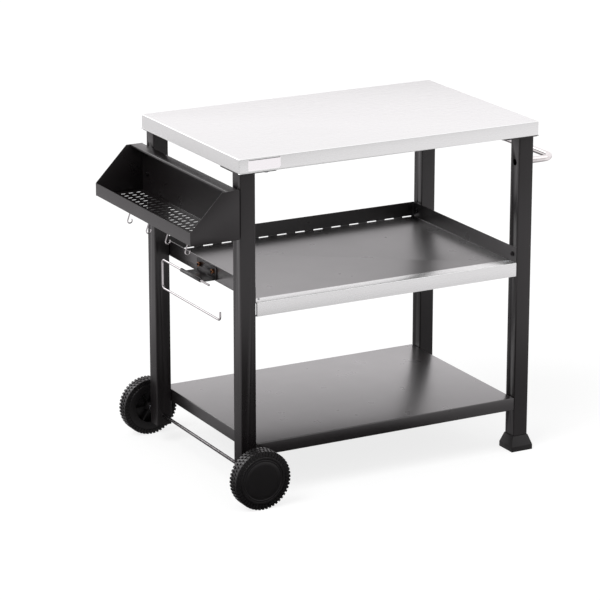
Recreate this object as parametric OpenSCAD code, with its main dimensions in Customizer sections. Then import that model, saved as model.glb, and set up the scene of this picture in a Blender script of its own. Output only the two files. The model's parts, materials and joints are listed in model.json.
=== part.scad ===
// Outdoor pizza oven table: a stainless worktop on a black square-tube frame with a
// walled tray, a lower shelf, two wheels, a push handle, a spice box with hooks
// and a swinging towel bar. Millimetres, +Z up, the front faces -Y.

/* [Worktop] */
// Length of the stainless worktop, along X
top_length = 812.8; // [700:0.1:1000]
// Depth of the worktop, along Y
top_depth = 520.7; // [480:0.1:620]
// Height of the worktop above the floor
total_height = 838.2; // [780:0.1:940]
// Height of the lip folded down around the worktop
top_lip = 35; // [28:0.5:50]
// Thickness of the stainless sheet
top_sheet = 1; // [0.8:0.1:2]
// Width of the return folded inwards under the lip
top_return = 20; // [16:0.5:28]
// Radius of the worktop's vertical corners
top_corner_r = 3; // [2:0.5:8]
// Width of the channels that stiffen the worktop from below
stiffener_w = 60; // [40:1:90]
// Depth of those channels
stiffener_h = 18; // [10:0.5:24]
// Distance of each channel from the worktop's middle line
stiffener_y = 110; // [60:1:160]
// Length of the blank badge plate on the front lip
badge_length = 84; // [50:1:120]
// Height of the badge plate
badge_height = 26; // [14:0.5:27]
// Thickness of the badge plate
badge_t = 0.8; // [0.5:0.1:1.5]
// Distance from the lip's left end to the badge plate
badge_inset = 24; // [10:1:100]

/* [Frame] */
// How far the worktop stands out past the legs at each end
overhang_x = 7.625; // [4:0.125:14]
// How far it stands out past the legs at the front and the back
overhang_y = 9.525; // [4:0.025:16]
// Width of the square leg tube
leg_size = 40; // [34:0.5:42]
// Wall of the leg tube
leg_wall = 1.5; // [1.2:0.1:2.5]
// Outer corner radius of the leg tube
leg_corner_r = 3; // [2:0.5:5]
// How far the left legs go on below the axle
leg_below_axle = 22.5; // [20:0.5:28]
// Side of the square corner plates between legs and worktop
plate_size = 100; // [88:1:120]
// Thickness of the corner plates
plate_t = 2.5; // [2:0.1:5]
// Distance of the plate's screws from the worktop's outer corner
plate_screw_in = 76; // [66:0.5:80]

/* [Feet and plugs] */
// How far the plastic foot flares out past the leg
foot_flare = 10; // [5:0.5:16]
// Height of the upright band round the foot's base
foot_band = 13; // [6:0.5:20]
// Height of the whole foot
foot_height = 38; // [30:0.5:60]
// Thickness of the sole under the leg
foot_sole = 4; // [3:0.5:8]
// Wall at the foot's upper rim
foot_rim = 1.2; // [0.8:0.1:3]
// Thickness of the head of a leg's end plug
plug_head = 2; // [1.5:0.1:4]
// Height of the plug inside the tube
plug_height = 11; // [6:0.5:12]

/* [Middle tray] */
// Distance from the worktop's top down to the tray's floor
tray_drop = 352.2; // [320:0.1:420]
// Height of the tray's side and back walls above its floor
tray_wall = 38; // [34:0.5:60]
// Height of the skirt under the tray's front edge
tray_skirt = 33; // [20:0.5:45]
// Sheet thickness of the tray and the lower shelf
shelf_sheet = 1.2; // [0.8:0.1:2]
// Width of the hem folded inwards under the skirts
shelf_hem = 10; // [6:0.5:16]
// Number of drain slots in the back wall
drain_count = 14; // [5:1:14]
// Distance from the tray's end to the middle of the last slot
drain_end = 20.6; // [20:0.1:60]
// Length of a drain slot
drain_length = 27; // [15:0.5:34]
// Height of a drain slot
drain_height = 2; // [1.5:0.1:6]
// Width of the stainless trim on top of the tray's front edge
trim_top = 32; // [22:0.5:50]
// Thickness of the stainless trim
trim_t = 1; // [0.8:0.1:1.5]
// Gap between the trim's ends and the legs
trim_end_gap = 3; // [2:0.1:6]

/* [Lower shelf] */
// Height of the lower shelf's top above the ground
shelf_z = 139; // [132:0.5:200]
// Height of the skirt folded down around the lower shelf
shelf_skirt = 32; // [26:0.5:40]

/* [Wheels] */
// Diameter of the wheels over the tread
wheel_d = 145; // [136:0.5:160]
// Width of a wheel
wheel_w = 34; // [30:0.5:40]
// Gap between a leg and the inner face of its wheel
wheel_gap = 39.025; // [30:0.005:60]
// Diameter of the axle rod
axle_d = 8; // [6:0.1:10]
// Number of lugs round the tread
lug_count = 48; // [24:2:60]
// Number of rows of lugs
lug_rows = 3; // [2:1:4]
// Height of the lugs
lug_height = 2; // [1:0.1:3]
// Groove between the rows of lugs
lug_groove = 2.5; // [1.5:0.1:3]
// Thickness of the wheel's rim
rim_wall = 5; // [3:0.5:7]
// Radius of the smooth hub cap
cap_r = 51.5; // [44:0.5:53]
// Thickness of the hub cap
cap_t = 2; // [1.5:0.1:3]
// Radius of the wheel's hub
hub_r = 12; // [10:0.5:18]
// How far the hub stands out on the wheel's inner side
hub_boss = 9; // [4:0.5:12]
// Radius of the opening in the wheel's inner side, where its spokes show
wheel_opening_r = 41; // [30:0.5:50]
// Number of spokes on the wheel's inner side
spoke_count = 6; // [3:1:10]
// Thickness of a spoke
spoke_t = 3; // [2:0.5:6]

/* [Handle] */
// Diameter of the handle tube
handle_d = 16; // [14:0.5:22]
// Wall of the handle tube
handle_wall = 1.5; // [1:0.1:2]
// Distance from the leg's face to the handle bar's middle line
handle_reach = 71.4; // [55:0.1:110]
// Distance from the worktop's top down to the handle
handle_drop = 103.2; // [80:0.1:200]
// Bend radius of the handle's middle line
handle_bend = 30; // [18:0.5:45]

/* [Spice box] */
// How far the spice box stands out past the worktop's depth at each end
box_extra = 0; // [0:0.5:20]
// Depth of the spice box, along X
box_depth = 127; // [120:0.5:160]
// Height of the back of the spice box
box_back = 118; // [110:0.5:140]
// Height of its front lip
box_lip = 32; // [20:0.5:40]
// Length of the level top of its end panels
box_flat = 44; // [34:0.5:60]
// Width of the flange folded forwards along its back
box_flange = 32; // [20:0.5:33]
// Gap between the worktop's lip and the upper edge of the box
box_drop = 37.2; // [20:0.1:60]
// Gap between the legs and the box, filled by the spacers
box_gap = 6; // [4:0.5:12]
// Sheet thickness of the spice box
box_sheet = 1.2; // [0.8:0.1:1.6]
// Height of the lower bolts above the box's underside
box_bolt_low = 46; // [38:0.5:56]
// Height of the upper bolts above the box's underside
box_bolt_high = 98; // [86:0.5:100]
// Distance between the slots in the floor, both ways
slot_pitch = 21; // [20:0.1:22]
// Least distance from the box's ends to the floor's slot grid
slot_margin = 8; // [6:0.5:12]
// Number of slots across the box
slot_rows = 5; // [4:1:5]
// Length of a slot, across the box
slot_length = 14; // [13:0.1:14.5]
// Width of a slot
slot_width = 7; // [5:0.1:9]

/* [Hooks] */
// Thickness of the hooks' wire
hook_wire = 3; // [2:0.1:3.4]
// Radius of the hooks' curls, at the middle of the wire
hook_r = 6; // [5.8:0.1:7]
// Distance between the centres of a hook's two curls
hook_step = 36; // [26:0.5:50]
// Angle by which each curl goes on past level
hook_tip = 33; // [20:1:45]

/* [Towel holder] */
// Thickness of the bar's wire
bar_d = 5; // [4:0.1:7]
// Length of the bar's upper run
bar_upper = 255; // [200:1:280]
// Length of the bar's lower run
bar_lower = 312; // [250:1:330]
// Distance between the runs
bar_drop = 72; // [50:0.5:90]
// Height of the tip turned up at the lower run's end
bar_tip = 21; // [16:0.5:30]
// Bend radius of the bar's middle line
bar_bend = 9; // [7:0.5:12]
// Distance of the bar's back end from the table's middle line
bar_back_y = 162; // [150:1:180]
// Length of the bracket
bracket_length = 104; // [90:1:120]
// Place of the bracket's middle along Y
bracket_y = 4; // [-20:1:20]
// Height of the bracket's upright leg
bracket_leg = 30; // [26:0.5:32]
// Distance from the tray's wall to the barrel's middle line
bracket_reach = 43; // [41:0.5:55]
// Sheet thickness of the bracket
bracket_t = 2; // [1.5:0.1:3]
// Distance between the bracket's bolts
bracket_bolt_gap = 72; // [50:1:76]
// Height of the bracket's bolts above its lower face
bracket_bolt_up = 18; // [16:0.5:20]

/* [Hidden] */
$fn = 48;

// Clearances and the overrun of a cut
fit = 0.1;
running_fit = 0.05;
axial_play = 0.3;
cut = 1;

// Screws and bolts
bolt_r = 3;
bolt_head_r = 6;
bolt_head_h = 4;
bolt_hex_r = 5.8;
bolt_hole_r = 3.3;
bolt_tail = 14;
bolt_past_nut = 3;
hex_nut_h = 5;
screw_r = 2.5;
screw_hole_r = 2.8;
screw_head_r = 4.5;
screw_head_h = 3;
clinch_nut_r = 5;
clinch_nut_h = 5;
rivet_nut_r = 4.4;
rivet_nut_hole_r = 4.5;
rivet_nut_bulge_r = 6;
rivet_nut_bulge_h = 3;
rivet_nut_length = 10;
washer_t = 1.6;
washer_r = 9;
lock_nut_h = 6.5;
lock_nut_r = 7.5;
axle_tip = 1;
cap_clearance = 0.6;

// Frame
leg_gap = top_length - 2 * overhang_x - 2 * leg_size;
leg_span = top_depth - 2 * overhang_y;
leg_face_x = leg_gap / 2 + leg_size;
leg_x = leg_gap / 2 + leg_size / 2;
leg_y = leg_span / 2 - leg_size / 2;
top_underside = total_height - top_lip;
leg_top = top_underside - plate_t;
inner_corner_share = 0.5;
plate_inset = 0.5;
plate_corner_r = 6;
flange_mid = top_return / 2;
frame_shift = (box_gap + box_depth - handle_reach - handle_d / 2) / 2;

// Worktop parts
stiffener_sheet = 1.2;
stiffener_end = 40;
stiffener_flange_share = 0.2;
badge_corner_r = 2;

// Tray and shelf
tray_z = total_height - tray_drop;
drain_pitch = (leg_gap - 2 * drain_end) / (drain_count - 1);
tray_bolt_up = 19;
tray_bolt_z = tray_z + tray_bolt_up;
shelf_bolt_z = shelf_z - shelf_skirt / 2;
trim_screw_ends = [7, 17];
trim_screw_back = 7;
trim_screw_r = 1.5;
trim_screw_head_r = 2.6;
trim_screw_head_h = 1.4;
trim_screw_length = 7;

// Wheel
wheel_r = wheel_d / 2;
left_leg_clearance = wheel_r - leg_below_axle;
track = leg_span + 2 * (wheel_gap + wheel_w);
axle_r = axle_d / 2;
bore_r = axle_r + running_fit;
web_t = 4;
seat_wall = 3.5;
sidewall_t = 5;
spoke_inset = 4;
lug_fill_share = 0.58;
lug_top_share = 0.46;
tread_r = wheel_r - lug_height;
lug_row_w = (wheel_w - (lug_rows + 1) * lug_groove) / lug_rows;
hub_sink = cap_t + cap_clearance + axle_tip + lock_nut_h + washer_t + axial_play;
cap_skirt_wall = 2;
cap_skirt_inset = 4;
cap_dish = 0.8;
cap_edge_share = 0.86;
hub_inner_y = track / 2 - wheel_w - hub_boss;
hub_outer_y = track / 2 - hub_sink;
axle_half = hub_outer_y + axial_play + washer_t + lock_nut_h + axle_tip;
spacer_length = hub_inner_y - axial_play - washer_t - leg_span / 2;
spacer_r = 9;

// Handle
handle_z = total_height - handle_drop;
handle_r = handle_d / 2;
handle_bore_r = handle_r - handle_wall;
bush_length = 20;
bush_bolt_depth = 15;
access_hole_r = 8;
handle_washer_r = 7;
handle_head_r = 5;
handle_head_h = 6;
socket_r = 2.5;
socket_depth = 3;

// Spice box
box_length = top_depth + 2 * box_extra;
box_z = top_underside - box_drop - box_back;
slot_columns = floor((box_length - 2 * slot_margin) / slot_pitch);
slot_end_r = slot_width / 2;
strip_w = slot_pitch - slot_length;
strip_from_back = (slot_rows - 0.5) * slot_pitch;
hook_clearance = 0.15;
hook_inner_r = hook_r - hook_wire / 2 - hook_clearance;
hook_seat = sqrt(hook_inner_r * hook_inner_r - strip_w * strip_w / 4);
hook_columns = [3, 8, 13, 18];
hook_axis_u = box_gap + strip_from_back;
hook_axis_z = box_z + box_sheet - hook_seat;
hook_lean = asin(2 * hook_r / hook_step);
hook_shank = sqrt(hook_step * hook_step - 4 * hook_r * hook_r);

// Towel holder
bar_r = bar_d / 2;
barrel_bore_r = bar_r + running_fit;
barrel_r = barrel_bore_r + bracket_t + fit;
bracket_below_wall = 4;
bracket_z = tray_z + tray_wall - bracket_below_wall - bracket_leg;
barrel_z = bracket_z + barrel_r;

function slot_y(i) = (i - (slot_columns - 1) / 2) * slot_pitch;
function hook_y(i) = slot_y(hook_columns[i]);

// Basic shapes
module place() {
    translate([frame_shift, 0, 0]) children();
}

module rounded_rect(l, w, r) {
    square([l - 2 * r, w], center = true);
    square([l, w - 2 * r], center = true);
    for (x = [-1, 1], y = [-1, 1])
        translate([x * (l / 2 - r), y * (w / 2 - r)]) circle(r = r);
}

module rod_x(r, from, to) {
    translate([from, 0, 0]) rotate([0, 90, 0]) cylinder(r = r, h = to - from);
}

module rod_y(r, from, to) {
    translate([0, from, 0]) rotate([-90, 0, 0]) cylinder(r = r, h = to - from);
}

module hex_x(r, from, to) {
    translate([from, 0, 0]) rotate([0, 90, 0]) cylinder(r = r, h = to - from, $fn = 6);
}

module tube_x(r, bore, from, to) {
    difference() {
        rod_x(r, from, to);
        rod_x(bore, from - cut, to + cut);
    }
}

module tube_y(r, bore, from, to) {
    difference() {
        rod_y(r, from, to);
        rod_y(bore, from - cut, to + cut);
    }
}

// Worktop
module worktop() {
    color("gainsboro") translate([0, 0, top_underside]) difference() {
        linear_extrude(top_lip) rounded_rect(top_length, top_depth, top_corner_r);
        translate([0, 0, top_sheet]) linear_extrude(top_lip - 2 * top_sheet)
            rounded_rect(top_length - 2 * top_sheet, top_depth - 2 * top_sheet, top_corner_r - top_sheet / 2);
        translate([0, 0, -cut]) linear_extrude(top_sheet + 2 * cut)
            rounded_rect(top_length - 2 * top_return, top_depth - 2 * top_return, top_corner_r);
        for (x = [-1, 1], y = [-1, 1]) plate_screw_places(x, y)
            translate([0, 0, -cut]) cylinder(r = screw_hole_r, h = top_sheet + 2 * cut);
    }
}

module plate_screw_places(x, y) {
    translate([x * (top_length / 2 - plate_screw_in), y * (top_depth / 2 - flange_mid), 0]) children();
    translate([x * (top_length / 2 - flange_mid), y * (top_depth / 2 - plate_screw_in), 0]) children();
}

module stiffener(y) {
    depth = stiffener_h - stiffener_sheet;
    web = stiffener_w * (1 - 2 * stiffener_flange_share);
    color("silver") translate([0, y * stiffener_y, total_height - top_sheet - stiffener_h])
        rotate([90, 0, 90]) linear_extrude(top_length - 2 * stiffener_end, center = true) {
            translate([-web / 2, 0]) square([web, stiffener_sheet]);
            for (s = [-1, 1]) {
                translate([s * (web - stiffener_sheet) / 2 - stiffener_sheet / 2, 0])
                    square([stiffener_sheet, stiffener_h]);
                translate([s * (web + stiffener_w) / 4 - (stiffener_w - web) / 4, depth])
                    square([(stiffener_w - web) / 2, stiffener_sheet]);
            }
        }
}

module badge_plate() {
    color("white") translate([badge_inset + badge_length / 2 - top_length / 2, -top_depth / 2,
        top_underside + top_lip / 2]) rotate([90, 0, 0])
        linear_extrude(badge_t) rounded_rect(badge_length, badge_height, badge_corner_r);
}

// Corner plates with their screws and nuts
module corner_plate(x, y) {
    middle = plate_inset + plate_size / 2;
    color("#262526") difference() {
        translate([x * (top_length / 2 - middle), y * (top_depth / 2 - middle), leg_top])
            linear_extrude(plate_t) rounded_rect(plate_size, plate_size, plate_corner_r);
        plate_screw_places(x, y)
            translate([0, 0, leg_top - cut]) cylinder(r = screw_hole_r, h = plate_t + 2 * cut);
    }
}

module plate_screws() {
    color("dimgray") for (x = [-1, 1], y = [-1, 1]) plate_screw_places(x, y) {
        translate([0, 0, leg_top - screw_head_h]) cylinder(r = screw_head_r, h = screw_head_h);
        translate([0, 0, leg_top]) cylinder(r = screw_r, h = plate_t + top_sheet + clinch_nut_h);
    }
}

module plate_nuts() {
    color("silver") for (x = [-1, 1], y = [-1, 1]) plate_screw_places(x, y)
        translate([0, 0, top_underside + top_sheet]) difference() {
            cylinder(r = clinch_nut_r, h = clinch_nut_h);
            translate([0, 0, -cut]) cylinder(r = screw_r + running_fit, h = clinch_nut_h + 2 * cut);
        }
}

// Legs, feet and plugs
module leg_tube(x, y, bottom) {
    hollow = leg_size - 2 * leg_wall;
    translate([x * leg_x, y * leg_y, bottom]) linear_extrude(leg_top - bottom) difference() {
        rounded_rect(leg_size, leg_size, leg_corner_r);
        rounded_rect(hollow, hollow, leg_corner_r * inner_corner_share);
    }
}

module inner_face_holes(x, y, r) {
    for (z = [tray_bolt_z, shelf_bolt_z]) translate([x * leg_gap / 2, y * leg_y, z])
        rod_x(r, -leg_wall - cut, leg_wall + cut);
}

module left_leg(y) {
    color("#2e2c2d") difference() {
        leg_tube(-1, y, left_leg_clearance);
        inner_face_holes(-1, y, rivet_nut_hole_r);
        for (z = [box_bolt_low, box_bolt_high]) translate([-leg_face_x, y * leg_y, box_z + z])
            rod_x(rivet_nut_hole_r, -cut, leg_wall + cut);
        translate([-leg_x, 0, wheel_r]) rod_y(axle_r + running_fit, -leg_span, leg_span);
    }
}

module right_leg(y) {
    color("#2e2c2d") difference() {
        leg_tube(1, y, foot_sole);
        inner_face_holes(1, y, rivet_nut_hole_r);
        translate([leg_gap / 2, y * leg_y, handle_z]) rod_x(access_hole_r, -cut, leg_wall + cut);
        translate([leg_face_x, y * leg_y, handle_z]) rod_x(bolt_hole_r, -leg_wall - cut, cut);
    }
}

module foot(y) {
    base = leg_size / 2 + foot_flare;
    rim = leg_size / 2 + foot_rim;
    socket = leg_size + 2 * fit;
    color("#1f1e1f") translate([leg_x, y * leg_y, 0]) difference() {
        intersection_for (turn = [0, 90]) rotate([90, 0, turn])
            linear_extrude(2 * base, center = true) polygon([
                [-base, 0], [base, 0], [base, foot_band], [rim, foot_height],
                [-rim, foot_height], [-base, foot_band]
            ]);
        translate([0, 0, foot_sole]) linear_extrude(foot_height)
            rounded_rect(socket, socket, leg_corner_r);
    }
}

module leg_plug(y) {
    insert = leg_size - 2 * leg_wall - 2 * fit;
    color("#1f1e1f") translate([-leg_x, y * leg_y, left_leg_clearance]) {
        translate([0, 0, -plug_head]) linear_extrude(plug_head)
            rounded_rect(leg_size, leg_size, leg_corner_r);
        linear_extrude(plug_height) rounded_rect(insert, insert, leg_corner_r);
    }
}

// Rivet nuts: the open end faces +X, flush with the tube's outer face
module rivet_nut() {
    difference() {
        union() {
            rod_x(rivet_nut_r, -rivet_nut_length, 0);
            rod_x(rivet_nut_bulge_r, -leg_wall - rivet_nut_bulge_h, -leg_wall);
        }
        rod_x(bolt_r + running_fit, -rivet_nut_length - cut, cut);
    }
}

module leg_rivet_nuts() {
    color("goldenrod") for (y = [-1, 1]) {
        for (x = [-1, 1], z = [tray_bolt_z, shelf_bolt_z]) translate([x * leg_gap / 2, y * leg_y, z])
            rotate([0, 0, x > 0 ? 180 : 0]) rivet_nut();
        for (z = [box_bolt_low, box_bolt_high]) translate([-leg_face_x, y * leg_y, box_z + z])
            rotate([0, 0, 180]) rivet_nut();
    }
}

// A bolt with its head's seat at the origin, its shank along -X
module flange_bolt(length) {
    difference() {
        union() {
            rod_x(bolt_head_r, 0, bolt_head_h / 2);
            hex_x(bolt_hex_r - bolt_head_h / 4, 0, bolt_head_h);
        }
        hex_x(socket_r, bolt_head_h / 2, bolt_head_h + cut);
    }
    rod_x(bolt_r, -length, 0);
}

// Middle tray with its trim and fasteners
module middle_tray() {
    color("#232223") difference() {
        union() {
            translate([-leg_gap / 2, -leg_span / 2, tray_z - shelf_sheet])
                cube([leg_gap, leg_span, shelf_sheet]);
            for (x = [-1, 1]) translate([x * (leg_gap - shelf_sheet) / 2 - shelf_sheet / 2,
                -leg_span / 2, tray_z - shelf_sheet]) cube([shelf_sheet, leg_span, shelf_sheet + tray_wall]);
            translate([-leg_gap / 2, leg_span / 2 - shelf_sheet, tray_z - shelf_sheet])
                cube([leg_gap, shelf_sheet, shelf_sheet + tray_wall]);
            translate([-leg_gap / 2, -leg_span / 2, tray_z - tray_skirt])
                cube([leg_gap, shelf_sheet, tray_skirt]);
            translate([-leg_gap / 2, -leg_span / 2, tray_z - tray_skirt])
                cube([leg_gap, shelf_hem, shelf_sheet]);
        }
        for (i = [0 : drain_count - 1])
            translate([(i - (drain_count - 1) / 2) * drain_pitch - drain_length / 2,
                leg_span / 2 - shelf_sheet - cut, tray_z])
                cube([drain_length, shelf_sheet + 2 * cut, drain_height]);
        for (x = [-1, 1], y = [-1, 1]) translate([x * leg_gap / 2, y * leg_y, tray_bolt_z])
            rod_x(bolt_hole_r, -shelf_sheet - cut, shelf_sheet + cut);
        bracket_bolt_places() rod_x(bolt_hole_r, -cut, shelf_sheet + cut);
        trim_screw_places() translate([0, 0, -shelf_sheet - cut])
            cylinder(r = trim_screw_r + fit, h = shelf_sheet + 2 * cut);
    }
}

module tray_trim() {
    length = leg_gap - 2 * trim_end_gap;
    color("lightgray") difference() {
        union() {
            translate([-length / 2, -leg_span / 2 - trim_t, tray_z])
                cube([length, trim_t + trim_top, trim_t]);
            translate([-length / 2, -leg_span / 2 - trim_t, tray_z - tray_skirt])
                cube([length, trim_t, tray_skirt + trim_t]);
        }
        trim_screw_places() translate([0, 0, -cut])
            cylinder(r = trim_screw_r + fit, h = trim_t + 2 * cut);
    }
}

module trim_screw_places() {
    for (x = [-1, 1], in = trim_screw_ends)
        translate([x * (leg_gap / 2 - trim_end_gap - in), trim_top - trim_screw_back - leg_span / 2, tray_z])
            children();
}

module trim_screws() {
    color("silver") trim_screw_places() {
        translate([0, 0, trim_t]) cylinder(r = trim_screw_head_r, h = trim_screw_head_h);
        translate([0, 0, trim_t - trim_screw_length]) cylinder(r = trim_screw_r, h = trim_screw_length);
    }
}

module tray_bolts() {
    color("#1c1b1c") for (x = [-1, 1], y = [-1, 1]) translate([x * leg_gap / 2, y * leg_y, tray_bolt_z])
        rotate([0, 0, x > 0 ? 180 : 0]) translate([shelf_sheet, 0, 0]) flange_bolt(bolt_tail);
}

// Lower shelf
module bottom_shelf() {
    color("#232223") difference() {
        translate([-leg_gap / 2, -leg_span / 2, shelf_z - shelf_skirt])
            cube([leg_gap, leg_span, shelf_skirt]);
        translate([-leg_gap / 2 + shelf_sheet, -leg_span / 2 + shelf_sheet, shelf_z - shelf_skirt + shelf_sheet])
            cube([leg_gap - 2 * shelf_sheet, leg_span - 2 * shelf_sheet, shelf_skirt - 2 * shelf_sheet]);
        translate([-leg_gap / 2 + shelf_hem, -leg_span / 2 + shelf_hem, shelf_z - shelf_skirt - cut])
            cube([leg_gap - 2 * shelf_hem, leg_span - 2 * shelf_hem, shelf_sheet + 2 * cut]);
        for (x = [-1, 1], y = [-1, 1]) translate([x * leg_gap / 2, y * leg_y, shelf_bolt_z])
            rod_x(bolt_hole_r, -shelf_sheet - cut, shelf_sheet + cut);
    }
}

module shelf_bolts() {
    color("#1c1b1c") for (x = [-1, 1], y = [-1, 1]) translate([x * leg_gap / 2, y * leg_y, shelf_bolt_z])
        rotate([0, 0, x > 0 ? 180 : 0]) translate([shelf_sheet, 0, 0]) flange_bolt(bolt_tail);
}

// Axle and wheels
module on_axle() {
    translate([-leg_x, 0, wheel_r]) children();
}

module axle() {
    color("#2a292a") on_axle() rod_y(axle_r, -axle_half, axle_half);
}

module axle_spacers() {
    color("#1f1e1f") on_axle() for (y = [0, 180]) rotate([0, 0, y])
        tube_y(spacer_r, axle_r + fit, leg_span / 2, leg_span / 2 + spacer_length);
}

module axle_washers() {
    color("silver") on_axle() for (y = [0, 180]) rotate([0, 0, y]) {
        tube_y(washer_r, axle_r + fit, leg_span / 2 + spacer_length, hub_inner_y - axial_play);
        tube_y(washer_r, axle_r + fit, hub_outer_y + axial_play, hub_outer_y + axial_play + washer_t);
    }
}

module axle_nuts() {
    from = hub_outer_y + axial_play + washer_t;
    color("silver") on_axle() for (y = [0, 180]) rotate([0, 0, y]) difference() {
        translate([0, from, 0]) rotate([-90, 0, 0]) cylinder(r = lock_nut_r, h = lock_nut_h, $fn = 6);
        rod_y(bore_r, from - cut, from + lock_nut_h + cut);
    }
}

// One row of lugs, each with a flat crown
module lug_ring(turn) {
    step = 360 / lug_count;
    linear_extrude(lug_row_w) difference() {
        polygon([for (i = [0 : lug_count - 1]) for (k = [
            [-lug_fill_share / 2, tread_r], [-lug_top_share / 2, wheel_r],
            [lug_top_share / 2, wheel_r], [lug_fill_share / 2, tread_r]
        ]) k[1] * [cos((i + k[0] + turn) * step), sin((i + k[0] + turn) * step)]]);
        circle(r = tread_r - rim_wall / 2);
    }
}

// The wheel stands on its inner face here, with its outer face at wheel_w
module wheel_form() {
    seat_r = cap_r + axial_play;
    rim_r = tread_r - rim_wall;
    web_z = wheel_w - hub_sink - web_t;
    difference() {
        union() {
            rotate_extrude() {
                translate([rim_r, 0]) square([rim_wall, wheel_w]);
                translate([seat_r, wheel_w - sidewall_t]) square([tread_r - seat_r, sidewall_t]);
                translate([wheel_opening_r, 0]) square([tread_r - wheel_opening_r, sidewall_t]);
                translate([seat_r, web_z]) square([seat_wall, wheel_w - web_z]);
                translate([hub_r / 2, web_z]) square([seat_r + seat_wall / 2 - hub_r / 2, web_t]);
                translate([hub_r / 2, -hub_boss]) square([hub_r / 2, wheel_w - hub_sink + hub_boss]);
            }
            translate([0, 0, -hub_boss]) cylinder(r = hub_r, h = wheel_w - hub_sink + hub_boss);
            for (i = [0 : spoke_count - 1]) rotate([0, 0, i * 360 / spoke_count])
                translate([hub_r / 2, -spoke_t / 2, spoke_inset])
                    cube([rim_r + rim_wall / 2 - hub_r / 2, spoke_t, web_z + web_t / 2 - spoke_inset]);
            for (i = [0 : lug_rows - 1])
                translate([0, 0, lug_groove + i * (lug_row_w + lug_groove)]) lug_ring(i % 2 / 2);
        }
        translate([0, 0, -hub_boss - cut]) cylinder(r = bore_r, h = wheel_w + 2 * hub_boss);
    }
}

module hub_cap_form() {
    skirt_r = cap_r - cap_skirt_inset;
    rotate_extrude() {
        polygon([
            [0, wheel_w - cap_t], [cap_r, wheel_w - cap_t], [cap_r, wheel_w - cap_dish],
            [cap_r * cap_edge_share, wheel_w], [0, wheel_w]
        ]);
        translate([skirt_r - cap_skirt_wall, wheel_w - hub_sink])
            square([cap_skirt_wall, hub_sink - cap_t / 2]);
    }
}

module on_wheel_axle(y) {
    on_axle() rotate([-90 * y, 0, 0]) translate([0, 0, track / 2 - wheel_w]) rotate([0, 0, -90 * y]) children();
}

module wheel(y) {
    color("#1b191a") on_wheel_axle(y) wheel_form();
}

module hub_cap(y) {
    color("#201e1f") on_wheel_axle(y) hub_cap_form();
}

// Push handle
module handle() {
    straight = handle_reach - handle_bend;
    half = leg_y - handle_bend;
    color("whitesmoke") translate([leg_face_x, 0, handle_z]) {
        for (y = [-1, 1]) {
            translate([0, y * leg_y, 0]) tube_x(handle_r, handle_bore_r, 0, straight);
            translate([straight, y * half, 0]) rotate([0, 0, y > 0 ? 0 : -90])
                rotate_extrude(angle = 90) translate([handle_bend, 0]) difference() {
                    circle(r = handle_r);
                    circle(r = handle_bore_r);
                }
        }
        translate([handle_reach, 0, 0]) tube_y(handle_r, handle_bore_r, -half, half);
    }
}

module handle_bushes() {
    color("silver") for (y = [-1, 1]) translate([leg_face_x, y * leg_y, handle_z])
        tube_x(handle_bore_r - running_fit, bolt_r + running_fit, 0, bush_length);
}

module handle_bolts() {
    seat = leg_face_x - leg_wall;
    color("#3a393a") for (y = [-1, 1]) translate([seat, y * leg_y, handle_z]) {
        tube_x(handle_washer_r, bolt_hole_r, -washer_t, 0);
        difference() {
            rod_x(handle_head_r, -washer_t - handle_head_h, -washer_t);
            hex_x(socket_r, -washer_t - handle_head_h - cut, socket_depth - washer_t - handle_head_h);
        }
        rod_x(bolt_r, -washer_t, leg_wall + bush_bolt_depth);
    }
}

// Spice box: local +X points away from the table, from the legs' outer face
module outward() {
    translate([-leg_face_x, 0, 0]) mirror([1, 0, 0]) children();
}

module slot_grid() {
    for (i = [0 : slot_columns - 1], k = [1 : slot_rows]) translate([k * slot_pitch, slot_y(i)]) {
        square([slot_length - slot_width, slot_width], center = true);
        for (s = [-1, 1]) translate([s * (slot_length - slot_width) / 2, 0]) circle(r = slot_end_r, $fn = 16);
    }
}

module spice_box_body() {
    inside = box_length - 2 * box_sheet;
    color("#262526") outward() translate([box_gap, 0, box_z]) {
        linear_extrude(box_sheet) difference() {
            translate([0, -inside / 2]) square([box_depth, inside]);
            slot_grid();
        }
        difference() {
            translate([0, -inside / 2, box_sheet]) cube([box_sheet, inside, box_back - box_sheet]);
            for (y = [-1, 1], z = [box_bolt_low, box_bolt_high]) translate([0, y * leg_y, z])
                rod_x(bolt_hole_r, -cut, box_sheet + cut);
        }
        translate([box_sheet, -inside / 2, box_back - box_sheet])
            cube([box_flange - box_sheet, inside, box_sheet]);
        translate([box_depth - box_sheet, -inside / 2, box_sheet])
            cube([box_sheet, inside, box_lip - box_sheet]);
    }
}

module spice_box_end(y) {
    color("#262526") outward() translate([box_gap, y * (box_length - box_sheet) / 2 + box_sheet / 2, box_z])
        rotate([90, 0, 0]) linear_extrude(box_sheet) polygon([
            [0, 0], [box_depth, 0], [box_depth, box_lip], [box_flat, box_back], [0, box_back]
        ]);
}

module box_bolt_places() {
    outward() for (y = [-1, 1], z = [box_bolt_low, box_bolt_high])
        translate([0, y * leg_y, box_z + z]) children();
}

module box_spacers() {
    color("#1c1b1c") box_bolt_places() tube_x(bolt_head_r, bolt_hole_r, 0, box_gap);
}

module box_bolts() {
    color("#1c1b1c") box_bolt_places() translate([box_gap + box_sheet, 0, 0])
        flange_bolt(box_gap + box_sheet + rivet_nut_length);
}

// Hooks: two curls that both run straight into the shank, upright until the hook is tilted
module hook_curl() {
    rotate([90, 0, 0]) rotate_extrude(angle = 180 + hook_tip + hook_lean)
        translate([hook_r, 0]) circle(d = hook_wire, $fn = 16);
}

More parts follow.
